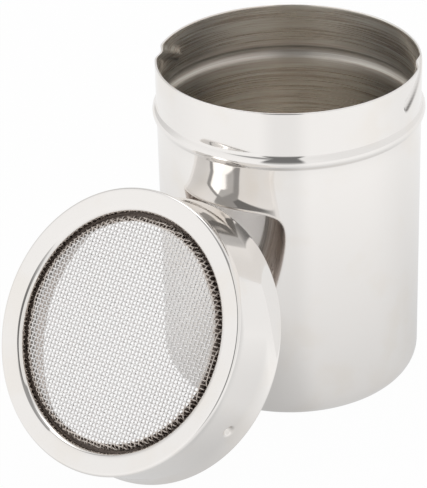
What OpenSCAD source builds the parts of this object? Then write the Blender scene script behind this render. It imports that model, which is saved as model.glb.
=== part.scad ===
// Shaker can with a screw-down mesh lid, the lid taken off and leaning on the can.
// Units are millimetres, +Z is up. The origin is the centre of the can's base.

/* [Can] */
// Outside diameter of the can's wall
can_d = 68; // [56:0.5:90]
// Height of the can from its base to its rim
can_h = 88.5; // [60:0.5:140]
// Thickness of the can's sheet
can_wall = 0.6; // [0.4:0.05:0.9]
// Outside radius of the corner between the wall and the base
can_corner_r = 6.2; // [3:0.1:12]

/* [Stiffening bead] */
// Distance from the rim down to the middle of the bead
bead_drop = 13.5; // [12:0.1:18]
// How far the bead stands out from the wall
bead_out = 1.05; // [0.6:0.05:1.3]
// Height of the bead's round, measured on the wall
bead_h = 3.4; // [2.8:0.1:4.4]
// Radius of the fillets between the bead and the wall
bead_root_r = 0.8; // [0.3:0.1:1.5]

/* [Locking grooves] */
// Number of grooves round the neck, and of lugs in the lid
groove_count = 2; // [2:1:4]
// Width of a groove, measured on the neck's outside
groove_w = 3.4; // [2.6:0.1:4]
// Depth that a groove is pressed into the neck
groove_depth = 1; // [0.6:0.05:1.3]
// Slope of a groove down from the rim, in degrees
groove_slope = 25; // [18:1:32]
// Distance from the rim down to the middle of a groove's closed end
groove_drop = 6.3; // [4.5:0.1:8]
// Direction of the first groove's closed end round the can, in degrees
groove_end_at = -29.5; // [-180:0.5:180]

/* [Lid] */
// Thickness of the lid's sheet
lid_wall = 0.6; // [0.4:0.05:0.8]
// Gap between the can's neck and the inside of the skirt
lid_gap = 0.75; // [0.4:0.05:1.2]
// Depth of the lid from its top edge to the skirt's rim
lid_depth = 18.3; // [17:0.1:24]
// Height of the flared band at the skirt's rim
flare_h = 4; // [2:0.1:4.5]
// How far the rim of the skirt flares out
flare_out = 1.05; // [0.2:0.05:1.5]
// How far the rolled top edge stands out from the skirt
edge_out = 0.3; // [0.1:0.05:0.5]
// Outside radius of the rolled top edge
edge_r = 0.8; // [0.7:0.05:1.2]
// Width of the top's band, from the rolled edge in to the opening
band_w = 5.95; // [4.8:0.05:12]
// Slope of the top down towards the opening, in degrees
dish_slope = 8; // [4:0.5:16]
// Outside radius of the bend into the opening's lip
lip_r = 2; // [0.7:0.05:2.4]
// Depth of the lip's lower end below the top edge
lip_depth = 4.2; // [3.8:0.1:5]
// Free space round a lug in its groove
lug_gap = 0.3; // [0.15:0.05:0.5]
// Direction of the first lug round the lid, in degrees
lug_at = -22.3; // [-180:0.1:180]

/* [Screen] */
// Distance between neighbouring wires of the screen
wire_pitch = 1.05; // [0.8:0.05:3]
// Diameter of a wire
wire_d = 0.38; // [0.2:0.02:0.5]
// Space left between the two layers of wires
layer_gap = 0.05; // [0.05:0.01:0.1]
// Depth of the screen's top below the lid's top edge
screen_depth = 1.3; // [1:0.1:1.5]
// Open groove between the lip and the screen's collar
collar_gap = 0.55; // [0.4:0.05:1.6]
// Thickness of the collar's sheet
collar_wall = 0.4; // [0.3:0.05:0.5]
// Outside radius of the collar's rounded shoulder
collar_turn_r = 1.8; // [1.6:0.1:2.2]
// Width of the ledge that carries the wires
ledge_w = 0.8; // [0.5:0.1:1.2]
// Turn of the wires in the lid, in degrees
wire_turn = 2.3; // [-45:0.1:45]

/* [Retaining ring] */
// Thickness of the ring's sheet
ring_wall = 0.6; // [0.4:0.05:0.8]
// Depth of the can's seat under the ring, below the lid's top edge
seat_depth = 6; // [5.8:0.1:7]
// How far the ring reaches inside the lip
ring_reach = 0.5; // [0.2:0.1:0.8]

/* [Lid set down] */
// Direction that the set-down lid faces, in degrees round the can
lid_facing = -128; // [-180:0.5:180]
// Tilt of the lid's face above the horizontal, in degrees
lid_lean = 33.2; // [15:0.1:50]
// Gap between the skirt's rim and the can that it leans on
lean_gap = 0.3; // [0.2:0.05:1]

/* [Hidden] */
$fn = 128;
// Slack between pieces that slide together at assembly
assembly_slack = 0.03;
// How far a cutting tool runs past the face that it cuts
overrun = 1;
// How much fuller the closed end of a groove is than its run
end_swell = 0.05;

can_r = can_d / 2;
bead_z = can_h - bead_drop;
bead_arc_r = (pow(bead_h / 2, 2) + pow(bead_out, 2)) / (2 * bead_out);
bead_centre = [can_r + bead_out - bead_arc_r, bead_z];
// Height between the bead's middle and the end of its fillet on the wall
bead_root_z = sqrt(pow(bead_arc_r + bead_root_r, 2) - pow(can_r + bead_root_r - bead_centre[0], 2));

groove_r = (pow(groove_w / 2, 2) + pow(groove_depth, 2)) / (2 * groove_depth);
groove_path_r = can_r - groove_depth + groove_r;
// Radius of the tilted arc that lies closest to the helix of this slope
groove_arc_r = groove_path_r / pow(cos(groove_slope), 2);
groove_rise = groove_arc_r * sin(groove_slope);
groove_half = asin(groove_drop / 2 / groove_rise);
groove_over = asin((groove_drop / 2 + groove_r + overrun) / groove_rise);
groove_half_turn = atan2(groove_arc_r * sin(groove_half) * cos(groove_slope),
                         groove_path_r - groove_arc_r * (1 - cos(groove_half)));

skirt_r = can_r + lid_gap + lid_wall;
rim_r = skirt_r + flare_out;
top_r = skirt_r + edge_out;
opening_r = top_r - band_w;
edge_centre = [top_r - edge_r, -edge_r];
dish_normal = [-sin(dish_slope), cos(dish_slope)];
// The lip's bend touches the dished top from below
lip_centre = [opening_r + lip_r,
              edge_centre[1] + edge_r / cos(dish_slope) - lip_r / cos(dish_slope)
              - (edge_centre[0] - opening_r - lip_r) * tan(dish_slope)];
lug_depth = seat_depth + groove_drop;
lug_r = groove_r - lug_gap;
lug_hollow_r = lug_r - lid_wall;
lug_reach_r = can_r - groove_depth + lug_gap;

collar_r = opening_r - collar_gap;
collar_in_r = collar_r - collar_wall;
warp_z = -screen_depth - wire_d / 2;
weft_z = warp_z - wire_d - layer_gap;
ledge_z = weft_z - wire_d / 2 - assembly_slack;
brim_r = opening_r + lid_wall + ring_reach + collar_wall;
ring_r = skirt_r - lid_wall - assembly_slack;
ring_top = -lip_depth - collar_wall;
// The collar's shoulder turns from level to upright round this point
turn_centre = [collar_r - collar_turn_r, -screen_depth - collar_turn_r];
ledge_reach = turn_centre[0] + sqrt(pow(collar_turn_r - collar_wall / 2, 2) - pow(ledge_z - turn_centre[1], 2));
wire_reach_r = turn_centre[0] - assembly_slack;
wire_steps = floor((wire_reach_r - ledge_w) / wire_pitch);

lid_stand_z = rim_r * cos(lid_lean) + lid_depth * sin(lid_lean);
lid_stand_out = can_r + lean_gap + rim_r * sin(lid_lean) + lid_depth * cos(lid_lean);

// The can's form in half section, with its surface moved inwards by "inset"
// and its top raised by "above". The rolled bead is one arc between two fillets.
module can_section(inset, above) {
    difference() {
        union() {
            translate([0, inset])
                square([can_r - can_corner_r, can_h + above - inset]);
            translate([0, can_corner_r])
                square([can_r - inset, can_h + above - can_corner_r]);
            translate([can_r - can_corner_r, can_corner_r])
                circle(can_corner_r - inset);
            translate(bead_centre)
                circle(bead_arc_r - inset);
            polygon([
                for (side = [-1, 1]) each
                    let (touch = bead_arc_r / (bead_arc_r + bead_root_r),
                         root = [can_r - inset, bead_z + side * bead_root_z],
                         tangent = bead_centre + touch * [can_r + bead_root_r - bead_centre[0], side * bead_root_z])
                    side < 0 ? [[bead_centre[0] - bead_root_r, root[1]], root, tangent]
                             : [tangent, root, [bead_centre[0] - bead_root_r, root[1]]]
            ]);
        }
        for (side = [-1, 1])
            translate([can_r + bead_root_r, bead_z + side * bead_root_z])
                circle(bead_root_r + inset);
    }
}

// The space of every groove: a tilted arc of round bar that ends in a ball
// and runs out above the rim. "swell" thickens the bar.
module groove_bars(swell) {
    for (i = [0 : groove_count - 1])
        rotate([0, 0, groove_end_at + groove_half_turn + i * 360 / groove_count])
        translate([groove_path_r - groove_arc_r, 0, can_h - groove_drop / 2])
        rotate([groove_slope, 0, 0]) {
            rotate([0, 0, -groove_half])
            rotate_extrude(angle = groove_half + groove_over)
                translate([groove_arc_r, 0])
                    circle(groove_r + swell);
            rotate([0, 0, -groove_half])
                translate([groove_arc_r, 0, 0])
                    sphere(groove_r + end_swell + swell);
        }
}

// Deep-drawn can: rounded base corner, rolled bead, and locking grooves
// that are pressed in from the outside and bulge on the inside.
module can() {
    color("silver")
    difference() {
        rotate_extrude() can_section(0, 0);
        difference() {
            rotate_extrude() can_section(can_wall, overrun);
            groove_bars(can_wall);
        }
        groove_bars(0);
    }
}

// The lid's form in half section, with its surface moved inwards by "inset"
// and its open end lowered by "below".
module lid_section(inset, below) {
    union() {
        polygon([
            [opening_r + inset, lip_centre[1]],
            [opening_r + inset, -lid_depth - below],
            [rim_r - inset, -lid_depth - below],
            [rim_r - inset, -lid_depth],
            [skirt_r - inset, flare_h - lid_depth],
            [skirt_r - inset, edge_centre[1]],
            edge_centre,
            edge_centre + (edge_r - inset) * dish_normal,
            lip_centre + (lip_r - inset) * dish_normal,
            lip_centre
        ]);
        translate(edge_centre) circle(edge_r - inset);
        translate(lip_centre) circle(lip_r - inset);
    }
}

// A round-nosed peg that points at the lid's axis from outside the skirt.
module lug_peg(peg_r) {
    nose = lug_reach_r + lug_r;
    translate([nose, 0, -lug_depth]) {
        sphere(peg_r);
        rotate([0, 90, 0]) cylinder(r = peg_r, h = rim_r + overrun - nose);
    }
}

module at_each_lug() {
    for (i = [0 : groove_count - 1])
        rotate([0, 0, lug_at + i * 360 / groove_count])
            children();
}

// Pressed cap: rolled top edge, dished top, lipped opening, flared skirt,
// and lugs pressed in through the skirt to run in the can's grooves.
module lid_shell() {
    difference() {
        union() {
            rotate_extrude() difference() {
                lid_section(0, 0);
                lid_section(lid_wall, overrun);
                translate([0, -lid_depth - overrun])
                    square([opening_r + lid_wall + overrun / 2, lid_depth + overrun - lip_depth]);
            }
            intersection() {
                at_each_lug() lug_peg(lug_r);
                translate([0, 0, -lid_depth])
                    cylinder(r = skirt_r - lid_wall / 2, h = lid_depth);
            }
        }
        at_each_lug() lug_peg(lug_hollow_r);
    }
}

// One layer of parallel wires along X, cut to length inside the collar.
module wire_layer(level) {
    for (i = [-wire_steps : wire_steps])
        let (half = sqrt(pow(wire_reach_r, 2) - pow(abs(i * wire_pitch) + wire_d / 2, 2)))
        translate([-half, i * wire_pitch, level])
            rotate([0, 90, 0])
                cylinder(d = wire_d, h = 2 * half, $fn = 16);
}

// Thin collar round the screen: a rounded shoulder and a wall, a ledge under
// the wires, and a brim that the lip and the retaining ring hold between them.
module collar_shape() {
    rotate_extrude() {
        intersection() {
            difference() {
                translate(turn_centre) circle(collar_turn_r);
                translate(turn_centre) circle(collar_turn_r - collar_wall);
            }
            translate(turn_centre) square(collar_turn_r);
        }
        translate([collar_in_r, ring_top])
            square([collar_wall, turn_centre[1] - ring_top]);
        translate([turn_centre[0] - ledge_w, ledge_z - collar_wall])
            square([ledge_reach - turn_centre[0] + ledge_w, collar_wall]);
        translate([collar_in_r, ring_top])
            square([brim_r - collar_in_r, collar_wall]);
    }
}

// Stepped ring: its inner web presses on the collar's brim, and the can's
// rim seats under its outer web.
module ring_shape() {
    riser_r = brim_r + assembly_slack;
    rotate_extrude() {
        translate([opening_r - ring_reach, ring_top - ring_wall])
            square([riser_r + ring_wall - opening_r + ring_reach, ring_wall]);
        translate([riser_r, -seat_depth])
            square([ring_wall, ring_top + seat_depth]);
        translate([riser_r, -seat_depth])
            square([ring_r - riser_r, ring_wall]);
    }
}

// Puts what is drawn round the lid's own axis, top up, where the lid leans.
module set_down() {
    translate([lid_stand_out * cos(lid_facing), lid_stand_out * sin(lid_facing), lid_stand_z])
        rotate([90 - lid_lean, 0, lid_facing + 90])
            children();
}

module lid() {
    color("gainsboro") set_down() lid_shell();
}

module screen_warp() {
    color("lightgray") set_down() rotate([0, 0, wire_turn + 90]) wire_layer(warp_z);
}

module screen_weft() {
    color("lightgray") set_down() rotate([0, 0, wire_turn]) wire_layer(weft_z);
}

module screen_collar() {
    color("darkgray") set_down() collar_shape();
}

module retaining_ring() {
    color("gray") set_down() ring_shape();
}

can();
lid();
screen_warp();
screen_weft();
screen_collar();
retaining_ring();
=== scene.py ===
"""Mesh-top shaker can with its lid taken off: the dressed model, as a Blender add-on that also runs
as a script."""

import bpy
import numpy as np
from bpy.props import FloatProperty, FloatVectorProperty, PointerProperty
from mathutils import Matrix


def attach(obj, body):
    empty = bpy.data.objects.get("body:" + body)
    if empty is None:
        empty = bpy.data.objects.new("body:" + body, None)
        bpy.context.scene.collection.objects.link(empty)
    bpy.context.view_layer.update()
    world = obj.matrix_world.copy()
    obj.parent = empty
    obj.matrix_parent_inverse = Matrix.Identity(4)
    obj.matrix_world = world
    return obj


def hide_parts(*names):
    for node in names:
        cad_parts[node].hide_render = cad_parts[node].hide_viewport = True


bl_info = {
    "name": "Mesh-top shaker can",
    "version": (1, 0, 0),
    "blender": (4, 5, 0),
    "location": "3D View > Sidebar > Shaker",
    "description": "Builds a steel shaker can and its woven-mesh lid, set down beside it",
    "category": "Add Mesh",
}

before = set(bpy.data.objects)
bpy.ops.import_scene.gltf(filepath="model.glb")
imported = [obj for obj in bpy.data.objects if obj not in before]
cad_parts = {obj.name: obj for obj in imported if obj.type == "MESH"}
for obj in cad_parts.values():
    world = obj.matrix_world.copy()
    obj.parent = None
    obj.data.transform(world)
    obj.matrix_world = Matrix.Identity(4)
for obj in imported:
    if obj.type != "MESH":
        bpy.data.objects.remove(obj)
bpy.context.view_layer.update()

MM = 0.001
CAP = 5  # points in the half circle round a sheet's end


def size(name, description, millimetres):
    """A length that a user can change, shown in the scene's unit."""
    return FloatProperty(name=name, description=description, default=millimetres * MM,
                         min=0.0, unit="LENGTH", subtype="DISTANCE", precision=5)


def turn(name, description, degrees):
    """An angle that a user can change."""
    return FloatProperty(name=name, description=description, default=np.radians(degrees),
                         unit="ROTATION", subtype="ANGLE")


def share(name, description, value):
    """A plain number from 0 to 1."""
    return FloatProperty(name=name, description=description, default=value,
                         min=0.0, max=1.0, subtype="FACTOR")


def colour(name, description, rgb):
    """A linear colour."""
    return FloatVectorProperty(name=name, description=description, default=rgb,
                               size=3, min=0.0, max=1.0, subtype="COLOR")


class CanSizes(bpy.types.PropertyGroup):
    """Sizes of the deep-drawn can."""
    radius: size("Radius", "Outside radius of the wall", 34)
    height: size("Height", "Base to rim", 88.5)
    wall: size("Sheet", "Thickness of the sheet", 0.6)
    corner: size("Base corner", "Outside radius of the corner at the base", 6.2)
    bead_level: size("Bead height", "Height of the bead's middle", 75)
    bead_out: size("Bead stand-out", "How far the bead stands out from the wall", 1.05)
    bead_round: size("Bead round", "Radius of the bead's round", 1.901)
    bead_root: size("Bead root", "Radius of the fillets beside the bead", 0.8)
    groove_depth: size("Groove depth", "How deep a locking groove is pressed in", 1.0)
    groove_half: size("Groove half width", "From a groove's middle to its shoulder", 2.15)
    groove_drop: size("Groove drop", "Rim to the middle of a groove's closed end", 6.3)
    groove_slope: turn("Groove slope", "Slope of a groove down from the rim", 25)
    groove_end: turn("Groove end", "Direction of the first groove's closed end", -29.5)


class LidSizes(bpy.types.PropertyGroup):
    """Sizes of the pressed lid, and the place where it is set down."""
    skirt: size("Skirt radius", "Outside radius of the skirt's waist", 35.35)
    edge: size("Edge radius", "Outside radius of the rolled top edge", 35.65)
    edge_roll: size("Edge roll", "Radius of the rolled top edge", 0.8)
    rim: size("Rim radius", "Outside radius of the flared rim", 36.4)
    depth: size("Depth", "Top edge to rim", 18.3)
    flare_start: size("Flare start", "Depth where the skirt starts to flare", 13.0)
    wall: size("Sheet", "Thickness of the sheet", 0.6)
    opening: size("Opening radius", "Radius of the round opening in the top", 29.7)
    lip_roll: size("Lip roll", "Radius of the bend into the opening's lip", 2.0)
    lip_depth: size("Lip depth", "Depth of the lip's lower end", 4.2)
    dish: turn("Dish", "Slope of the top down towards the opening", 8)
    lug: turn("Lug", "Direction of the first lug", -22.3)
    lug_depth: size("Lug depth", "Depth of the lugs below the top edge", 12.3)
    lug_press: size("Lug press", "How deep a lug is pressed in", 1.45)
    lug_half: size("Lug half width", "From a lug's middle to its shoulder", 2.0)
    facing: turn("Facing", "Direction that the set-down lid faces", -128)
    lean: turn("Lean", "Tilt of the lid's face above the horizontal", 33.2)
    stand_height: size("Stand height", "Height of the top's middle", 40.4787)
    stand_out: size("Stand out", "From the can's axis to the top's middle", 69.5435)


class ScreenSizes(bpy.types.PropertyGroup):
    """Sizes of the woven screen and of what holds it."""
    pitch: size("Pitch", "Distance between neighbouring wires", 1.05)
    wire: size("Wire", "Diameter of a wire", 0.38)
    top: size("Top depth", "Depth of the cloth's top below the lid's edge", 1.3)
    edge: size("Edge radius", "Radius of the cloth's turned-down edge", 28.72)
    shoulder: size("Shoulder", "Radius of the bend into the turned-down edge", 1.6)
    edge_depth: size("Edge depth", "Depth where the wires end in the collar", 4.3)
    weft_turn: turn("Weft turn", "Direction of the weft wires in the lid", 2.3)
    warp_turn: turn("Warp turn", "Direction of the warp wires in the lid", 90.6)


class HolderSizes(bpy.types.PropertyGroup):
    """Sizes of the collar under the cloth's edge and of the retaining ring, all to the sheet's middle."""
    collar_sheet: size("Collar sheet", "Thickness of the collar's sheet", 0.25)
    collar_out: size("Collar out", "Outer radius of the collar's flange", 30.9)
    collar_in: size("Collar in", "Radius of the collar's upright", 28.1)
    collar_low: size("Collar depth", "Depth of the collar's flange", 4.46)
    collar_root: size("Collar root", "Radius of the bend from flange to upright", 0.3)
    collar_high: size("Collar height", "Depth where the upright starts to turn in", 3.4)
    collar_roll: size("Collar roll", "Radius of the turned-in edge", 1.3)
    collar_curl: turn("Collar curl", "How far the edge is turned in", 50)
    ring_sheet: size("Ring sheet", "Thickness of the ring's sheet", 0.6)
    ring_out: size("Ring out", "Outer radius of the ring", 34.42)
    ring_step: size("Ring step", "Radius of the step between the ring's two levels", 31.48)
    ring_in: size("Ring in", "Inner radius of the ring", 29.45)
    ring_low: size("Ring seat", "Depth of the outer level, which the can's rim seats on", 5.7)
    ring_high: size("Ring top", "Depth of the inner level, which holds the collar up", 4.9)


class SteelFinish(bpy.types.PropertyGroup):
    """Colours and gloss of the steel."""
    polished: colour("Polished steel", "Colour of the mirror-polished sheet", (0.90, 0.875, 0.85))
    smudge: colour("Smudge", "Colour of the polished sheet where it is smudged", (0.885, 0.85, 0.81))
    inside: colour("Inside steel", "Colour of the unpolished inside", (0.985, 0.858, 0.777))
    lid_inside: colour("Lid's inside", "Colour of the lid's inside", (0.70, 0.63, 0.585))
    wire: colour("Wire", "Colour of the screen's wire", (1.0, 0.967, 0.955))
    # The wire edge's colour is painted shade on the turned-down wires.
    wire_edge_shade: colour("Wire edge", "Colour of the wire where it is turned down", (0.78, 0.72, 0.67))
    collar: colour("Collar", "Colour of the collar's inside", (0.42, 0.40, 0.38))
    # The joint's colour is painted shade: a dark sheet for the shade in the gap round the cloth's edge.
    joint: colour("Joint", "Colour of the dark film in the joint round the cloth", (0.28, 0.235, 0.21))
    ring: colour("Ring", "Colour of the retaining ring", (0.5, 0.47, 0.44))
    polished_roughness: share("Polished roughness", "Roughness of the polished sheet", 0.06)
    inside_roughness: share("Inside roughness", "Roughness of the inside", 0.28)
    wire_roughness: share("Wire roughness", "Roughness of the wire", 0.56)


class StageLight(bpy.types.PropertyGroup):
    """The floor, the white surround with its dark gap, canopy and window, and the lamp."""
    floor: colour("Floor", "Colour of the floor", (0.88, 0.88, 0.88))
    floor_white: share("Floor's white", "How much of the floor that the camera sees is plain white", 0.975)
    floor_glow: share("Floor's glow", "How much of the floor that the metal sees is its own glow", 0.92)
    sky: share("Sky", "Strength of the surround", 0.86)
    sky_left: share("Left", "How much stronger the surround is at the front left", 0.12)
    sky_back: share("Back", "How much weaker the surround is at the back left", 0.16)
    gap_dark: share("Gap", "How much darker the gap round the camera is", 0.8)
    gap_side: turn("Gap middle", "Direction of the gap's middle, from straight ahead", -5)
    gap_half: turn("Gap half width", "Half the gap's width", 17)
    gap_low: turn("Gap foot", "Height below which the gap fades towards the floor", 28)
    gap_high: turn("Gap top", "Height of the gap's top", 72)
    canopy_dark: share("Canopy", "How much darker the canopy overhead is", 0.62)
    frame_dark: share("Frame", "How much darker the frame beside the window is", 0.6)
    window: share("Window", "How much brighter the window behind the canopy is", 0.5)
    key: FloatProperty(name="Key", description="Power of the overhead softbox", default=0.4, min=0.0,
                       unit="POWER")


# ---------------------------------------------------------------- sections

def arc(centre, radius, start, end, count):
    """An arc of a circle: centre + radius * (cos a, sin a) for a from start to end degrees.
    Returns points and the normals on the right-hand side of the way along it."""
    a = np.radians(np.linspace(start, end, count))
    out = np.stack([np.cos(a), np.sin(a)], axis=1)
    return np.array(centre) + radius * out, out * (1 if end > start else -1)


def line(start, end, count):
    """A straight run from start to end in equal steps, with its right-hand normals."""
    start, end = np.array(start, float), np.array(end, float)
    way = (end - start) / np.linalg.norm(end - start)
    points = start + np.linspace(0, 1, count)[:, None] * (end - start)
    return points, np.tile([way[1], -way[0]], (count, 1))


def curve(points):
    """A free curve through points; its right-hand normals come from central differences."""
    points = np.array(points, float)
    way = np.gradient(points, axis=0)
    way /= np.linalg.norm(way, axis=1)[:, None]
    return points, np.stack([way[:, 1], -way[:, 0]], axis=1)


def path(*parts):
    """Runs joined end to end, each later one without its first point."""
    points = np.concatenate([parts[0][0]] + [p[0][1:] for p in parts[1:]])
    normals = np.concatenate([parts[0][1]] + [p[1][1:] for p in parts[1:]])
    return points, normals


def sheet_loop(mid, wall, from_axis=False):
    """The closed outline of a sheet: the middle line moved out by half the wall along its normals,
    a half circle round its end, the middle line moved in by the same, and, unless the sheet starts
    on the axis, a half circle round its start."""
    points, normals = mid
    half = wall / 2
    outer, inner = points + half * normals, points - half * normals

    def cap(i, start):
        """A half circle round point i, from the angle start on, without its ends."""
        a = start + np.pi * np.arange(1, CAP + 1)[:, None] / (CAP + 1)
        way = np.stack([-normals[i, 1], normals[i, 0]])
        return points[i] + half * (np.cos(a) * normals[i] + np.sin(a) * way)

    parts = [outer, cap(-1, 0), inner[::-1]]
    if not from_axis:
        parts.append(cap(0, np.pi))
    return np.concatenate(parts)


# ---------------------------------------------------------------- meshes

def add_mesh(name, vertices, quads, triangles=(), uv=None, place=None):
    """A smooth-shaded mesh object at the origin from whole arrays, its place in its vertices."""
    vertices = np.asarray(vertices, float).reshape(-1, 3)
    if place is not None:
        vertices = vertices @ np.array(place.to_3x3()).T + np.array(place.translation)
    quads = np.asarray(quads, int).reshape(-1, 4)
    triangles = np.asarray(triangles, int).reshape(-1, 3)
    mesh = bpy.data.meshes.new(name)
    mesh.from_pydata(vertices.tolist(), [], quads.tolist() + triangles.tolist())
    if uv is not None:
        layer = mesh.uv_layers.new(name="UVMap")
        layer.data.foreach_set("uv", np.asarray(uv, np.float32).ravel())
    mesh.shade_smooth()
    mesh.update()
    thing = bpy.data.objects.new(name, mesh)
    bpy.context.scene.collection.objects.link(thing)
    return thing


def revolve(name, outline, turns, closed, press=None, place=None):
    """A surface of revolution on a grid of outline points and turns: (r cos t, r sin t, z).
    press(r, z, t) is added to r, so that both sides of the sheet move together.
    closed joins the outline's end to its start; otherwise both ends lie on the axis, as poles."""
    turns = np.asarray(turns)
    count, m = len(outline), len(turns)
    r = np.repeat(outline[:, :1], m, axis=1)
    z = np.repeat(outline[:, 1:], m, axis=1)
    t = np.repeat(turns[None, :], count, axis=0)
    if press is not None:
        r = r + press(r, z, t)
    grid = np.stack([r * np.cos(t), r * np.sin(t), z], axis=2)
    run = np.concatenate([[0], np.cumsum(np.linalg.norm(np.diff(outline, axis=0), axis=1))])
    first, last = (0, count) if closed else (1, count - 1)
    body = grid[first:last].reshape(-1, 3)
    rows = last - first
    index = np.arange(rows * m).reshape(rows, m)
    below = index if closed else index[:-1]
    above = np.roll(index, -1, axis=0) if closed else index[1:]
    ahead = np.roll(index, -1, axis=1)
    ahead_above = np.roll(above, -1, axis=1)
    ahead_below = ahead if closed else ahead[:-1]
    quads = np.stack([below, ahead_below, ahead_above, above], axis=2).reshape(-1, 4)
    u0 = np.arange(m) / m
    u1 = u0 + 1 / m
    v = run[first:last]
    v0 = v if closed else v[:-1]
    v1 = np.append(v[1:], v[-1] + v[1] - v[0]) if closed else v[1:]
    corners = ((u0, v0), (u1, v0), (u1, v1), (u0, v1))
    uv = np.stack([part for u, v_row in corners for part in np.meshgrid(u, v_row)], axis=2).reshape(-1, 2)
    triangles = []
    if not closed:
        poles = np.array([[0, 0, outline[0, 1]], [0, 0, outline[-1, 1]]])
        low, high = rows * m, rows * m + 1
        body = np.concatenate([body, poles])
        start = np.stack([np.full(m, low), np.roll(index[0], -1), index[0]], axis=1)
        end = np.stack([np.full(m, high), index[-1], np.roll(index[-1], -1)], axis=1)
        triangles = np.concatenate([start, end])
        mid = (u0 + u1) / 2
        for pole, near, left, right in ((run[0], v[0], u1, u0), (run[-1], v[-1], u0, u1)):
            pole, near = np.full(m, pole), np.full(m, near)
            uv = np.concatenate([uv, np.stack([mid, pole, left, near, right, near], 1).reshape(-1, 2)])
    return add_mesh(name, body, quads, triangles, uv, place)


def add_share(piece, name, share):
    """A share from 0 to 1 for each of a piece's points, kept as an attribute."""
    layer = piece.data.attributes.new(name, "FLOAT", "POINT")
    layer.data.foreach_set("value", np.clip(share, 0, 1).astype(np.float32))


def turns_with(step, zones):
    """Angles round the axis in equal steps, with finer steps inside each zone (low, high, step), all in
    radians."""
    full = 2 * np.pi
    keep = np.arange(0, full, step)
    extra = []
    for low, high, fine in zones:
        middle = (np.mod(keep - low, full) < high - low)
        keep = keep[~middle]
        extra.append(np.mod(np.arange(low, high, fine), full))
    return np.sort(np.concatenate([keep] + extra))


def tubes(name, lines, radius, sides, up, edge, place=None):
    """One mesh of round wires. Each line is an array of points; a ring of sides points stands round each,
    at point + radius * (cos a * across + sin a * over), where across is the way crossed with up.
    edge(points) gives each point's share of the painted shade at the cloth's edge, kept as the attribute
    "edge"."""
    a = np.linspace(0, 2 * np.pi, sides, endpoint=False)
    vertices, quads, triangles, shares, base = [], [], [], [], 0
    for points in lines:
        way = np.gradient(points, axis=0)
        way /= np.linalg.norm(way, axis=1)[:, None]
        across = np.cross(way, up)
        across /= np.linalg.norm(across, axis=1)[:, None]
        over = np.cross(across, way)
        ring = (points[:, None] + radius * (np.cos(a)[None, :, None] * across[:, None]
                                            + np.sin(a)[None, :, None] * over[:, None]))
        n = len(points)
        index = base + np.arange(n * sides).reshape(n, sides)
        ahead = np.roll(index, -1, axis=1)
        quads.append(np.stack([index[:-1], ahead[:-1], ahead[1:], index[1:]], axis=2).reshape(-1, 4))
        ends = np.arange(1, sides - 1)
        for ring_index, one, two in ((index[0], ends + 1, ends), (index[-1], ends, ends + 1)):
            hub = np.full(sides - 2, ring_index[0])
            triangles.append(np.stack([hub, ring_index[one], ring_index[two]], axis=1))
        vertices.append(ring.reshape(-1, 3))
        shares.append(np.repeat(edge(points), sides))
        base += n * sides
    thing = add_mesh(name, np.concatenate(vertices), np.concatenate(quads), np.concatenate(triangles),
                     None, place)
    add_share(thing, "edge", np.concatenate(shares))
    return thing


def lid_place(lid):
    """Where the lid's own frame stands: x along the floor, y up its face, z out of its face."""
    f, a = lid.facing, lid.lean
    x = np.array([-np.sin(f), np.cos(f), 0])
    z = np.array([np.cos(a) * np.cos(f), np.cos(a) * np.sin(f), np.sin(a)])
    y = np.cross(z, x)
    at = (lid.stand_out * np.cos(f), lid.stand_out * np.sin(f), lid.stand_height)
    return Matrix([[x[i], y[i], z[i], at[i]] for i in range(3)] + [[0, 0, 0, 1]])


# ---------------------------------------------------------------- materials

class Nodes:
    """A node tree with short calls: add a node, set its sockets, link its output."""

    def __init__(self, tree):
        self.tree = tree

    def add(self, kind, inputs=None, **settings):
        node = self.tree.nodes.new("ShaderNode" + kind)
        for key, value in settings.items():
            setattr(node, key, value)
        for key, value in (inputs or {}).items():
            self.set(node, key, value)
        return node

    def set(self, node, key, value):
        socket = node.inputs[key]
        if isinstance(value, bpy.types.NodeSocket):
            self.tree.links.new(value, socket)
        else:
            socket.default_value = value

    def math(self, operation, *values):
        """One step of arithmetic on sockets and numbers."""
        return self.add("Math", dict(enumerate(values)), operation=operation).outputs[0]

    def product(self, first, *others):
        """All the values multiplied."""
        for value in others:
            first = self.math("MULTIPLY", first, value)
        return first

    def object_place(self):
        """The point's place in its object."""
        return self.add("TexCoord").outputs["Object"]

    def share(self, name):
        """What add_share kept under a name."""
        return self.add("Attribute", attribute_name=name).outputs["Fac"]

    def bump(self, height, strength, distance):
        """Bumps in the shader's surface."""
        node = self.add("Bump", {"Height": height, "Strength": strength, "Distance": distance})
        self.set(self.shader, "Normal", node.outputs["Normal"])

    def ease(self, value, low, high, start=0.0, end=1.0):
        """Start up to low, end from high on, and a smooth step between them."""
        return self.add("MapRange", {"Value": value, "From Min": low, "From Max": high, "To Min": start,
                                     "To Max": end}, interpolation_type="SMOOTHSTEP").outputs["Result"]


def steel(name):
    """A new metal material: its nodes, its shader and itself."""
    material = bpy.data.materials.new(name)
    material.use_nodes = True
    n = Nodes(material.node_tree)
    n.shader, n.material = material.node_tree.nodes["Principled BSDF"], material
    n.set(n.shader, "Metallic", 1.0)
    return n


def noise(nodes, vector, scale, detail=2.0, roughness=0.5):
    """A noise pattern's factor, between 0 and 1."""
    return nodes.add("TexNoise", {"Vector": vector, "Scale": scale, "Detail": detail,
                                  "Roughness": roughness}).outputs[0]


def spread(nodes, factor, middle, part):
    """A factor spread round a middle, from (1 - part) to (1 + part) times it."""
    return nodes.add("MapRange", {"Value": factor, "To Min": middle * (1 - part),
                                  "To Max": middle * (1 + part)}).outputs["Result"]


def tinted(nodes, factor, rgb, low, high):
    """A colour made darker and lighter by a factor, between low and high times itself."""
    dark = [c * low for c in rgb] + [1]
    light = [min(1.0, c * high) for c in rgb] + [1]
    mix = nodes.add("Mix", data_type="RGBA")
    nodes.set(mix, 0, factor)
    mix.inputs[6].default_value = dark
    mix.inputs[7].default_value = light
    return mix.outputs[2]


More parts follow.
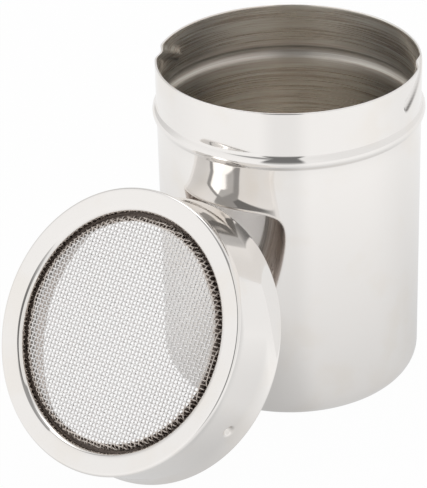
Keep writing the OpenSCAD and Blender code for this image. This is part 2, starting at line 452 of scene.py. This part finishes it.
def with_painted_shade(nodes, clean, share):
    """A colour darkened by the painted shade that a piece keeps in its film share, at most by a share."""
    amount = nodes.math("MULTIPLY", nodes.share("film"), share)
    mix = nodes.add("Mix", {0: amount, 6: clean}, data_type="RGBA")
    # The dark colour of the painted shade.
    mix.inputs[7].default_value = (0.05, 0.04, 0.035, 1)
    return mix.outputs[2]


def polished_steel(name, finish):
    """Mirror-polished sheet: faint buffing haze in the roughness, faint warm smudges and a very slight
    waviness."""
    n = steel(name)
    place = n.object_place()
    haze = noise(n, place, 38.0, 3.0)
    smudge = n.ease(noise(n, place, 62.0, 3.0), 0.5, 0.68)
    mix = n.add("Mix", {0: smudge, 6: tinted(n, haze, finish.polished, 0.985, 1.01)}, data_type="RGBA")
    mix.inputs[7].default_value = (*finish.smudge, 1)
    # The film share darkens the colour as painted shade round the grooves and the lugs.
    n.set(n.shader, "Base Color", with_painted_shade(n, mix.outputs[2], 0.85))
    n.set(n.shader, "Roughness", spread(n, haze, finish.polished_roughness, 0.3))
    n.bump(noise(n, place, 55.0, 1.0), 0.25, 0.04 * MM)
    return n.material


def inside_steel(name, rgb, roughness):
    """Unpolished drawn sheet: dull and brownish, with fine lines round it from drawing and turning, and
    rougher where it was stretched over the bead."""
    n = steel(name)
    uv = n.add("UVMap", uv_map="UVMap").outputs["UV"]

    def lines(along, across):
        """Noise drawn out into lines: so many cells to a turn, and so many to a metre across."""
        drawn = n.add("Mapping", {"Vector": uv, "Scale": (along, across, 1.0)}).outputs["Vector"]
        return noise(n, drawn, 1.0, 2.0)

    scratch = n.math("ADD", n.math("MULTIPLY", n.ease(lines(14.0, 3200.0), 0.3, 0.7), 0.55),
                     n.math("MULTIPLY", n.ease(lines(6.0, 1300.0), 0.3, 0.7), 0.45))
    # The film share darkens the colour as painted shade at the bead, the grooves and the lugs.
    n.set(n.shader, "Base Color", with_painted_shade(n, tinted(n, scratch, rgb, 0.72, 1.2), 0.7))
    n.set(n.shader, "Anisotropic", 0.8)
    n.set(n.shader, "Anisotropic Rotation", 0.25)
    n.set(n.shader, "Tangent", n.add("Tangent", direction_type="UV_MAP", uv_map="UVMap").outputs["Tangent"])
    stretched = n.math("MULTIPLY", n.share("stretch"), 0.22)
    n.set(n.shader, "Roughness", n.math("ADD", spread(n, scratch, roughness, 0.15), stretched))
    n.bump(lines(7.0, 3600.0), 0.3, 0.02 * MM)
    return n.material


def wire_steel(name, finish):
    """Bright drawn wire with a little dull film, and with painted shade where the cloth is turned down at its
    edge.
    """
    n = steel(name)
    film = noise(n, n.object_place(), 600.0, 2.0)
    bright = tinted(n, film, finish.wire, 0.94, 1.04)
    # The turned-down wires take the painted shade's colour.
    mix = n.add("Mix", {0: n.share("edge"), 6: bright}, data_type="RGBA")
    mix.inputs[7].default_value = (*finish.wire_edge_shade, 1)
    n.set(n.shader, "Base Color", mix.outputs[2])
    n.set(n.shader, "Roughness", spread(n, film, finish.wire_roughness, 0.107))
    return n.material


def dull_steel(name, rgb, roughness):
    """Dull pressed sheet with a fine mottled film."""
    n = steel(name)
    film = noise(n, n.object_place(), 900.0, 3.0)
    n.set(n.shader, "Base Color", tinted(n, film, rgb, 0.8, 1.2))
    n.set(n.shader, "Roughness", spread(n, film, roughness, 0.15))
    n.bump(film, 0.3, 0.02 * MM)
    return n.material


def finish_piece(piece, body, slot, nodes, *materials):
    """Gives a piece its materials and its body, and hides the CAD nodes that it stands for. The slot is not
    used.
    """
    for material in materials:
        piece.data.materials.append(material)
    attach(piece, body)
    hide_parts(*nodes)


def points_of(piece):
    """A piece's points as one array."""
    points = np.empty(3 * len(piece.data.vertices))
    piece.data.vertices.foreach_get("co", points)
    return points.reshape(-1, 3)


def use_second_material(piece, chosen):
    """Faces whose corner points are all in chosen take the second material."""
    mesh = piece.data
    corners = np.empty(len(mesh.loops), np.int32)
    mesh.loops.foreach_get("vertex_index", corners)
    starts = np.empty(len(mesh.polygons), np.int32)
    mesh.polygons.foreach_get("loop_start", starts)
    inside = np.minimum.reduceat(chosen[corners].astype(np.int32), starts)
    mesh.polygons.foreach_set("material_index", inside)
    mesh.update()


# ---------------------------------------------------------------- operators

def pressed(distance, half):
    """A soft round-bottomed press: 1 in the middle, (1 + cos) / 2 down to 0 at half."""
    return 0.5 + 0.5 * np.cos(np.pi * np.clip(distance / half, 0, 1))


class SHAKER_OT_can(bpy.types.Operator):
    """Make the deep-drawn can with its bead and locking grooves"""
    bl_idname = "shaker.can"
    bl_label = "Can"

    def execute(self, context):
        s, finish = context.scene.shaker_can, context.scene.shaker_steel
        half = s.wall / 2
        mid = s.radius - half
        bead = np.array([s.radius + s.bead_out - s.bead_round, s.bead_level])
        reach = s.radius + s.bead_root - bead[0]
        root_z = np.sqrt((s.bead_round + s.bead_root) ** 2 - reach ** 2)
        lean = np.degrees(np.arctan2(root_z, reach))
        low_root = np.array([s.radius + s.bead_root, s.bead_level - root_z])
        high_root = np.array([s.radius + s.bead_root, s.bead_level + root_z])
        corner = np.array([s.radius - s.corner, s.corner])
        profile = path(
            line((0, half), (corner[0], half), 9),
            arc(corner, s.corner - half, -90, 0, 12),
            line((mid, s.corner), (mid, low_root[1]), 26),
            arc(low_root, s.bead_root + half, 180, 180 - lean, 5),
            arc(bead, s.bead_round - half, -lean, lean, 9),
            arc(high_root, s.bead_root + half, 180 + lean, 180, 5),
            line((mid, high_root[1]), (mid, s.height - half), 28))
        outline = sheet_loop(profile, s.wall, from_axis=True)
        slope = s.groove_slope
        end_z = s.height - s.groove_drop

        def groove(z, t, turn_of):
            """Distance from a ray that climbs at the groove's slope from its closed end, how far below it,
            and how far along it."""
            along = np.mod(t - s.groove_end - turn_of + np.pi, 2 * np.pi) - np.pi
            x, y = along * s.radius, z - end_z
            run = np.maximum(x * np.cos(slope) + y * np.sin(slope), 0)
            away = np.hypot(x - run * np.cos(slope), y - run * np.sin(slope))
            return away, x * np.sin(slope) - y * np.cos(slope), run

        def press(r, z, t):
            """Inward by groove_depth in the middle of each groove."""
            depth = sum(pressed(groove(z, t, turn_of)[0], s.groove_half) for turn_of in (0, np.pi))
            return np.where(r > s.radius * 0.9, -s.groove_depth * depth, 0)

        def film(points):
            """Painted dark reflection along each groove: bell curves across each groove's flank, stronger on
            its lower side and fading along it.
            """
            t = np.arctan2(points[:, 1], points[:, 0])
            total = np.zeros(len(points))
            for turn_of in (0, np.pi):
                away, below, run = groove(points[:, 2], t, turn_of)
                band = np.exp(-((away / s.groove_half - 0.62) / 0.17) ** 2)
                fade = 0.12 + 0.88 * np.exp(-(run / (3 * s.groove_half)) ** 2)
                total += band * fade * np.clip(0.55 + 1.5 * below / s.groove_half, 0.2, 1)
            return total

        behind, ahead, fine = np.radians((-6, 34, 0.4))
        zones = [(s.groove_end + turn_of + behind, s.groove_end + turn_of + ahead, fine)
                 for turn_of in (0, np.pi)]
        turns = turns_with(np.radians(1.0), zones)
        piece = revolve("can_shell", outline, turns, False, press)
        finish_piece(piece, "can_body", "can_steel", ["can"],
                     polished_steel("can polished steel", finish),
                     inside_steel("can inside steel", finish.inside, finish.inside_roughness))
        inner = np.zeros(len(piece.data.vertices), bool)
        inner[(len(profile[0]) + CAP - 3) * len(turns):] = True
        inner[-2] = False
        use_second_material(piece, inner)
        points = points_of(piece)
        level = (points[:, 2] - s.bead_level) / s.bead_round
        # Up the inside of the bead, the painted shade follows two bell curves, a dark line in the hollow
        # above the bead and a dimming of the bead's highlight, and the stretch a flat-topped one.
        bead_painted_shade = (0.85 * np.exp(-((level - 0.7) / 0.35) ** 2)
                     + 0.4 * np.exp(-((level + 0.1) / 0.5) ** 2))
        # The film share holds painted shade: the dark reflection along the grooves and the shade up the
        # inside of the bead.
        add_share(piece, "film", film(points) + inner * bead_painted_shade)
        add_share(piece, "stretch", inner * np.exp(-(level / 1.3) ** 4))
        return {"FINISHED"}


class SHAKER_OT_lid(bpy.types.Operator):
    """Make the pressed lid with its dished top, flared rim and lugs"""
    bl_idname = "shaker.lid"
    bl_label = "Lid"

    def execute(self, context):
        s, finish = context.scene.shaker_lid, context.scene.shaker_steel
        half = s.wall / 2
        dish = np.degrees(s.dish)
        top = np.array([-np.sin(s.dish), np.cos(s.dish)])
        edge = np.array([s.edge - s.edge_roll, -s.edge_roll])
        lip_x = s.opening + s.lip_roll
        lip = np.array([lip_x, edge[1] + (s.edge_roll - s.lip_roll) / np.cos(s.dish)
                        - (edge[0] - lip_x) * np.tan(s.dish)])
        waist = s.skirt - half
        tuck = np.radians(14)
        roll = s.edge_roll - half
        start = edge + roll * np.array([np.cos(tuck), -np.sin(tuck)])
        fall = 2 * (start[0] - waist) / np.tan(tuck)
        depth = np.concatenate([np.linspace(s.depth - half, s.flare_start, 16),
                                np.linspace(s.flare_start, -start[1] + fall, 22)[1:],
                                np.linspace(-start[1] + fall, -start[1], 8)[1:]])
        flare = np.clip((depth - s.flare_start) / (s.depth - s.flare_start), 0, 1) ** 2
        narrow = np.clip((-start[1] + fall - depth) / fall, 0, 1) ** 2
        radius = waist + (s.rim - s.skirt) * flare + (start[0] - waist) * narrow
        profile = path(
            curve(np.stack([radius, -depth], axis=1)),
            arc(edge, roll, -np.degrees(tuck), 90 + dish, 12),
            line(edge + roll * top, lip + (s.lip_roll - half) * top, 10),
            arc(lip, s.lip_roll - half, 90 + dish, 180, 9),
            line((s.opening + half, lip[1]), (s.opening + half, -s.lip_depth + half), 6))
        outline = sheet_loop(profile, s.wall)

        def press(r, z, t):
            """Inward by lug_press round each lug's middle on the skirt."""
            shift = np.zeros_like(r)
            for turn_of in (0, np.pi):
                along = np.mod(t - s.lug - turn_of + np.pi, 2 * np.pi) - np.pi
                away = np.hypot(along * s.skirt, z + s.lug_depth)
                shift = shift - s.lug_press * pressed(away, s.lug_half)
            return np.where(r > s.skirt - 2 * s.wall, shift, 0)

        def film(r, z, t):
            """Painted shade round each lug: a bell curve round its flank, stronger on its lower side."""
            total = np.zeros_like(r)
            for turn_of in (0, np.pi):
                along = (np.mod(t - s.lug - turn_of + np.pi, 2 * np.pi) - np.pi) * s.skirt
                away = np.hypot(along, z + s.lug_depth)
                band = np.exp(-((away / s.lug_half - 0.6) / 0.2) ** 2)
                total += band * np.clip(0.15 + 0.5 * along / s.lug_half, 0.05, 0.4)
            return np.where(r > s.skirt - 2 * s.wall, total, 0)

        beside, fine = np.radians((4.5, 0.3))
        zones = [(s.lug + turn_of - beside, s.lug + turn_of + beside, fine) for turn_of in (0, np.pi)]
        turns = turns_with(np.radians(0.75), zones)
        piece = revolve("lid_shell", outline, turns, True, press, lid_place(s))
        finish_piece(piece, "lid_body", "lid_steel", ["lid"],
                     polished_steel("lid polished steel", finish),
                     inside_steel("lid inside steel", finish.lid_inside, finish.inside_roughness))
        count, m = len(profile[0]), len(turns)
        inner = np.zeros(len(piece.data.vertices), bool)
        inner[(count + CAP) * m:(2 * count + CAP) * m] = True
        use_second_material(piece, inner)
        r, z = np.repeat(outline, m, axis=0).T
        # The film share holds the painted shade round the lugs.
        add_share(piece, "film", film(r, z, np.tile(turns, len(outline))))
        return {"FINISHED"}


class SHAKER_OT_screen(bpy.types.Operator):
    """Weave the screen's two families of wires, turned down at the edge"""
    bl_idname = "shaker.screen"
    bl_label = "Screen"

    def execute(self, context):
        s, lid = context.scene.shaker_screen, context.scene.shaker_lid
        material = wire_steel("screen wire", context.scene.shaker_steel)
        rise = s.wire / 2 + 0.01 * MM
        level = -s.top - s.wire / 2 - rise
        flat = s.edge - s.shoulder
        bend = s.shoulder * np.pi / 2
        drop = s.edge_depth + level - s.shoulder
        edge_run = flat + bend + drop
        quarter = s.pitch / 4

        def hat(run):
            """The cloth's section: level out to the shoulder, a quarter circle, then straight down.
            Takes the run along it from the middle, and returns radius and height."""
            a = np.clip((run - flat) / s.shoulder, 0, np.pi / 2)
            radius = np.minimum(run, flat) + s.shoulder * np.sin(a)
            height = level - s.shoulder * (1 - np.cos(a)) - np.maximum(run - flat - bend, 0)
            return radius, height

        def edge(points):
            """Share of painted shade on the wires: 0 on the level cloth, easing to 1 over the shoulder's
            first half millimetre.
            """
            t = np.clip((np.hypot(points[:, 0], points[:, 1]) - flat) / (0.5 * MM), 0, 1)
            return t * t * (3 - 2 * t)

        way = {"warp": s.warp_turn, "weft": s.weft_turn}
        steps = int((s.edge - 0.02 * MM) / s.pitch)
        for family, other, sign in (("warp", "weft", 1), ("weft", "warp", -1)):
            along = np.array([np.cos(way[family]), np.sin(way[family])])
            beside = np.array([np.cos(way[other]), np.sin(way[other])])
            if family == "weft":
                beside = -beside
            square = np.array([-along[1], along[0]])
            lines = []
            for i in range(-steps, steps + 1):
                off = i * s.pitch * (beside @ square)
                slip = i * s.pitch * (beside @ along)
                near = abs(off)
                if near >= s.edge - 0.05 * MM:
                    continue
                from_run = near if near < flat else flat + s.shoulder * np.arcsin((near - flat) / s.shoulder)
                reach = np.sqrt(max(flat ** 2 - near ** 2, 0))
                inside = np.arange(0, reach, quarter) if reach > quarter else np.array([0.0])
                outer_run = np.linspace(max(from_run, flat), edge_run, 11)
                radius, height = hat(outer_run)
                x_out = np.sqrt(np.maximum(radius ** 2 - near ** 2, 0))
                x = np.concatenate([inside[inside < x_out[0] - quarter / 3], x_out])
                z = np.concatenate([np.full(len(x) - len(x_out), level), height])
                if len(x) == len(x_out):
                    x[0] = 0.0
                step = np.concatenate([[0], np.cumsum(np.hypot(np.diff(x), np.diff(z)))])
                x = np.concatenate([-x[:0:-1], x])
                z = np.concatenate([z[:0:-1], z])
                run = np.concatenate([-step[:0:-1], step])
                ripple = sign * rise * (-1) ** i * np.cos(np.pi * (run - slip) / s.pitch)
                radius = np.hypot(x, off)
                tilt = np.clip((radius - flat) / s.shoulder, 0, 1)
                up = np.sqrt(1 - tilt ** 2)
                spot = np.stack([x, np.full_like(x, off)], axis=1)
                out = spot / np.maximum(radius, 1e-9)[:, None]
                spot = spot + (ripple * tilt)[:, None] * out
                lines.append(np.concatenate([spot[:, :1] * along + spot[:, 1:] * square,
                                             (z + ripple * up)[:, None]], axis=1))
            piece = tubes(f"screen_{family}_wires", lines, s.wire / 2, 7, (0.0, 0.0, 1.0), edge,
                          lid_place(lid))
            finish_piece(piece, "lid_body", "screen_wire", [f"screen_{family}"], material)
        return {"FINISHED"}


class SHAKER_OT_holders(bpy.types.Operator):
    """Make the collar under the cloth's edge and the retaining ring"""
    bl_idname = "shaker.holders"
    bl_label = "Collar and ring"

    def execute(self, context):
        scene = context.scene
        s, lid, finish = scene.shaker_holders, scene.shaker_lid, scene.shaker_steel
        turns = np.linspace(0, 2 * np.pi, 360, endpoint=False)

        def ring(name, mid, sheet, node, slot, *materials):
            """A band of sheet round the lid's axis. A second material goes on the side that shows."""
            piece = revolve(name, sheet_loop(mid, sheet), turns, True, None, lid_place(lid))
            finish_piece(piece, "lid_body", slot, [node], *materials)
            if len(materials) == 2:
                front = np.zeros(len(piece.data.vertices), bool)
                front[:(len(mid[0]) + CAP // 2 + 1) * len(turns)] = True
                use_second_material(piece, front)

        low, root = -s.collar_low, s.collar_root
        collar = path(
            line((s.collar_out, low), (s.collar_in + root, low), 8),
            arc((s.collar_in + root, low + root), root, -90, -180, 5),
            line((s.collar_in, low + root), (s.collar_in, -s.collar_high), 3),
            arc((s.collar_in - s.collar_roll, -s.collar_high), s.collar_roll,
                0, np.degrees(s.collar_curl), 7))
        # The collar's side that shows takes the joint's painted shade, for the shade in the gap round the
        # cloth.
        ring("screen_collar_band", collar, s.collar_sheet, "screen_collar", "collar_steel",
             dull_steel("collar steel", finish.collar, 0.5), dull_steel("joint painted shade", finish.joint, 0.6))

        low, high = -s.ring_low, -s.ring_high
        bend = (high - low) / 2
        web = path(
            line((s.ring_out, low), (s.ring_step + bend, low), 6),
            arc((s.ring_step + bend, low + bend), bend, -90, -180, 5),
            arc((s.ring_step - bend, low + bend), bend, 0, 90, 5),
            line((s.ring_step - bend, high), (s.ring_in, high), 6))
        ring("retaining_ring_web", web, s.ring_sheet, "retaining_ring", "ring_steel",
             dull_steel("ring steel", finish.ring, 0.3))
        return {"FINISHED"}


class SHAKER_OT_stage(bpy.types.Operator):
    """Set up the floor, the white surround, the lamp and the camera"""
    bl_idname = "shaker.stage"
    bl_label = "Stage"

    def execute(self, context):
        s, scene = context.scene.shaker_stage, context.scene
        scene.view_settings.view_transform = "Standard"

        self.floor(scene, s)
        self.surround(scene, s)
        lamp = bpy.data.lights.new("overhead softbox", "AREA")
        lamp.shape, lamp.size, lamp.size_y, lamp.energy = "RECTANGLE", 0.6, 0.3, s.key
        at = np.array([-0.14, 0.42, 1.12])
        away = at / np.linalg.norm(at)
        right = np.cross((0, 1, 0), away)
        right /= np.linalg.norm(right)
        self.stand(scene, "overhead softbox", lamp, right, np.cross(away, right), away, at)

        camera = bpy.data.cameras.new("camera")
        camera.lens, camera.sensor_width, camera.sensor_fit = 169.67, 36.0, "AUTO"
        camera.clip_start, camera.clip_end = 0.05, 20.0
        yaw, pitch, roll = -0.038, 0.503, -0.029
        ahead = np.array([np.sin(yaw) * np.cos(pitch), np.cos(yaw) * np.cos(pitch), -np.sin(pitch)])
        side = np.cross(ahead, (0, 0, 1))
        side /= np.linalg.norm(side)
        right = np.cos(roll) * side + np.sin(roll) * np.cross(side, ahead)
        scene.camera = self.stand(scene, "camera", camera, right, np.cross(right, ahead), -ahead,
                                  (0.0, -0.5355, 0.32903))
        return {"FINISHED"}

    @staticmethod
    def stand(scene, name, data, right, up, back, at):
        """A lamp or camera set up at a place, facing against back."""
        thing = bpy.data.objects.new(name, data)
        thing.matrix_world = Matrix([[right[i], up[i], back[i], at[i]] for i in range(3)] + [[0, 0, 0, 1]])
        scene.collection.objects.link(thing)
        return thing

    @staticmethod
    def floor(scene, s):
        """A pale floor that shows white and keeps a faint shadow. Metal sees it white too, but with painted
        shadow: duller close to the can, behind it, round the lid's foot, and in a strip that runs from the
        can to the gap."""
        mesh = bpy.data.meshes.new("floor")
        half, level = 3.0, -0.1 * MM
        corners = [(x * half, y * half, level) for x, y in ((-1, -1), (1, -1), (1, 1), (-1, 1))]
        mesh.from_pydata(corners, [], [(0, 1, 2, 3)])
        floor = bpy.data.objects.new("floor", mesh)
        scene.collection.objects.link(floor)
        material = bpy.data.materials.new("floor white")
        material.use_nodes = True
        mesh.materials.append(material)
        n = Nodes(material.node_tree)
        shader = n.tree.nodes["Principled BSDF"]
        n.set(shader, "Base Color", (*s.floor, 1))
        n.set(shader, "Roughness", 0.6)
        n.set(shader, "Specular IOR Level", 0.2)
        place = n.object_place()
        at = n.add("SeparateXYZ", {"Vector": place}).outputs
        away = n.add("VectorMath", {0: place}, operation="LENGTH").outputs["Value"]
        ahead = n.math("MULTIPLY", at["Y"], -1.0)
        # near, side, strip and shade paint shadow into the glow that the metal sees.
        grow = n.add("MapRange", {"Value": away, "From Min": 0.03, "From Max": 0.18}).outputs["Result"]
        near = n.math("MINIMUM", n.math("MULTIPLY_ADD", n.math("POWER", grow, 0.6), 0.38, 0.65), 1.0)
        side = n.ease(n.math("DIVIDE", ahead, away), -0.35, 0.5, 0.93, 1.0)
        off = n.math("ABSOLUTE", n.math("SUBTRACT", n.math("ARCTAN2", at["X"], ahead), s.gap_side + 0.02))
        far = n.ease(away, 0.3, 1.0, 0.9, 0.5)
        strip = n.ease(off, s.gap_half * 0.3, s.gap_half * 1.3, far, 1.0)
        ray = n.add("LightPath").outputs
        foot = (-0.037, -0.047, 0.0)
        to_lid = n.add("VectorMath", {0: place, 1: foot}, operation="DISTANCE").outputs["Value"]
        shade = n.ease(to_lid, 0.02, 0.055, 0.8, 1.0)
        strength = n.math("MAXIMUM", ray["Is Camera Ray"], n.product(near, side, strip, shade))
        glow = n.add("Emission", {"Strength": strength}).outputs["Emission"]
        mirrored = n.math("MAXIMUM", ray["Is Glossy Ray"], ray["Is Transmission Ray"])
        part = n.math("MULTIPLY_ADD", ray["Is Camera Ray"], s.floor_white, n.product(mirrored, s.floor_glow))
        mix = n.add("MixShader", {0: part, 1: shader.outputs["BSDF"], 2: glow}).outputs["Shader"]
        n.set(n.tree.nodes["Material Output"], "Surface", mix)

    @staticmethod
    def surround(scene, s):
        """A white surround: full white where the camera looks at it. For all else it is brighter at the front
        left and duller at the back left, with a tall dark gap round the camera, a dark canopy overhead
        behind the can, and beside the canopy a bright window with a dark frame on its left."""
        world = bpy.data.worlds.new("white surround")
        scene.world = world
        world.use_nodes = True
        n = Nodes(world.node_tree)
        at = n.add("SeparateXYZ", {"Vector": n.add("TexCoord").outputs["Generated"]}).outputs
        ahead = n.math("MULTIPLY", at["Y"], -1.0)
        left = n.math("MAXIMUM", n.product(n.math("SUBTRACT", ahead, at["X"]), 0.707 * s.sky_left), 0.0)
        behind = n.math("MULTIPLY_ADD", at["X"], -0.5, n.math("MULTIPLY", at["Y"], 0.866))
        sky = n.math("SUBTRACT", n.math("ADD", left, s.sky), n.ease(behind, 0.5, 0.9, 0.0, s.sky_back))
        off = n.math("ABSOLUTE", n.math("SUBTRACT", n.math("ARCTAN2", at["X"], ahead), s.gap_side))
        climb = n.math("ARCSINE", at["Z"])
        across = n.ease(off, s.gap_half * 0.85, s.gap_half * 1.15, 1.0, 0.0)
        foot = n.ease(climb, -s.gap_low, s.gap_low)
        top = n.ease(climb, s.gap_high - 0.07, s.gap_high + 0.07, s.gap_dark, 0.0)
        gap = n.product(across, foot, top)
        rear = n.ease(n.math("MULTIPLY_ADD", at["X"], 0.5, at["Y"]), 0.13, 0.15, 1.0, 0.0)
        rear_left = n.ease(n.math("MULTIPLY_ADD", at["X"], -0.73, at["Y"]), 0.32, 0.34, 1.0, 0.0)
        right = n.ease(n.math("MULTIPLY_ADD", at["X"], -0.77, at["Y"]), -0.42, -0.36)
        canopy = n.product(rear, rear_left, right, n.ease(at["Z"], 0.76, 0.84, 0.0, s.canopy_dark))
        aside = n.math("MULTIPLY_ADD", at["Y"], 0.2, at["X"])
        beside = n.math("ABSOLUTE", n.math("ADD", aside, 0.374))
        edge = n.product(n.ease(beside, 0.03, 0.06, s.frame_dark, 0.0), n.ease(at["Y"], -0.2, 0.0),
                         n.ease(at["Z"], 0.35, 0.55))
        dark = n.math("MAXIMUM", gap, n.math("MAXIMUM", canopy, edge))
        window = n.product(n.ease(aside, -0.335, -0.315, 0.0, s.window), n.ease(at["X"], 0.14, 0.2, 1.0, 0.0),
                           n.ease(at["Y"], -0.1, 0.0), n.ease(at["Y"], 0.5, 0.56, 1.0, 0.0),
                           n.ease(at["Z"], 0.3, 0.5))
        light = n.product(n.math("ADD", sky, window), n.math("SUBTRACT", 1.0, dark))
        seen = n.add("LightPath").outputs["Is Camera Ray"]
        background = n.tree.nodes["Background"]
        n.set(background, "Color", (1, 1, 1, 1))
        n.set(background, "Strength", n.math("MAXIMUM", seen, light))


class SHAKER_PT_panel(bpy.types.Panel):
    """Lists the shaker's steps and sizes"""
    bl_idname = "SHAKER_PT_panel"
    bl_label = "Shaker"
    bl_space_type = "VIEW_3D"
    bl_region_type = "UI"
    bl_category = "Shaker"

    def draw(self, context):
        layout = self.layout
        for operator in OPERATORS:
            layout.operator(operator.bl_idname)
        for name, _ in GROUPS:
            box = layout.box()
            group = getattr(context.scene, name)
            for key in group.__annotations__:
                box.prop(group, key)


GROUPS = (("shaker_can", CanSizes), ("shaker_lid", LidSizes), ("shaker_screen", ScreenSizes),
          ("shaker_holders", HolderSizes), ("shaker_steel", SteelFinish), ("shaker_stage", StageLight))
OPERATORS = (SHAKER_OT_can, SHAKER_OT_lid, SHAKER_OT_screen, SHAKER_OT_holders, SHAKER_OT_stage)


def register():
    for name, group in GROUPS:
        bpy.utils.register_class(group)
        setattr(bpy.types.Scene, name, PointerProperty(type=group))
    for cls in (*OPERATORS, SHAKER_PT_panel):
        bpy.utils.register_class(cls)


def unregister():
    for cls in (SHAKER_PT_panel, *reversed(OPERATORS)):
        bpy.utils.unregister_class(cls)
    for name, group in reversed(GROUPS):
        delattr(bpy.types.Scene, name)
        bpy.utils.unregister_class(group)


def main():
    register()
    bpy.ops.shaker.can()
    bpy.ops.shaker.lid()
    bpy.ops.shaker.screen()
    bpy.ops.shaker.holders()
    bpy.ops.shaker.stage()


if __name__ == "__main__":
    main()
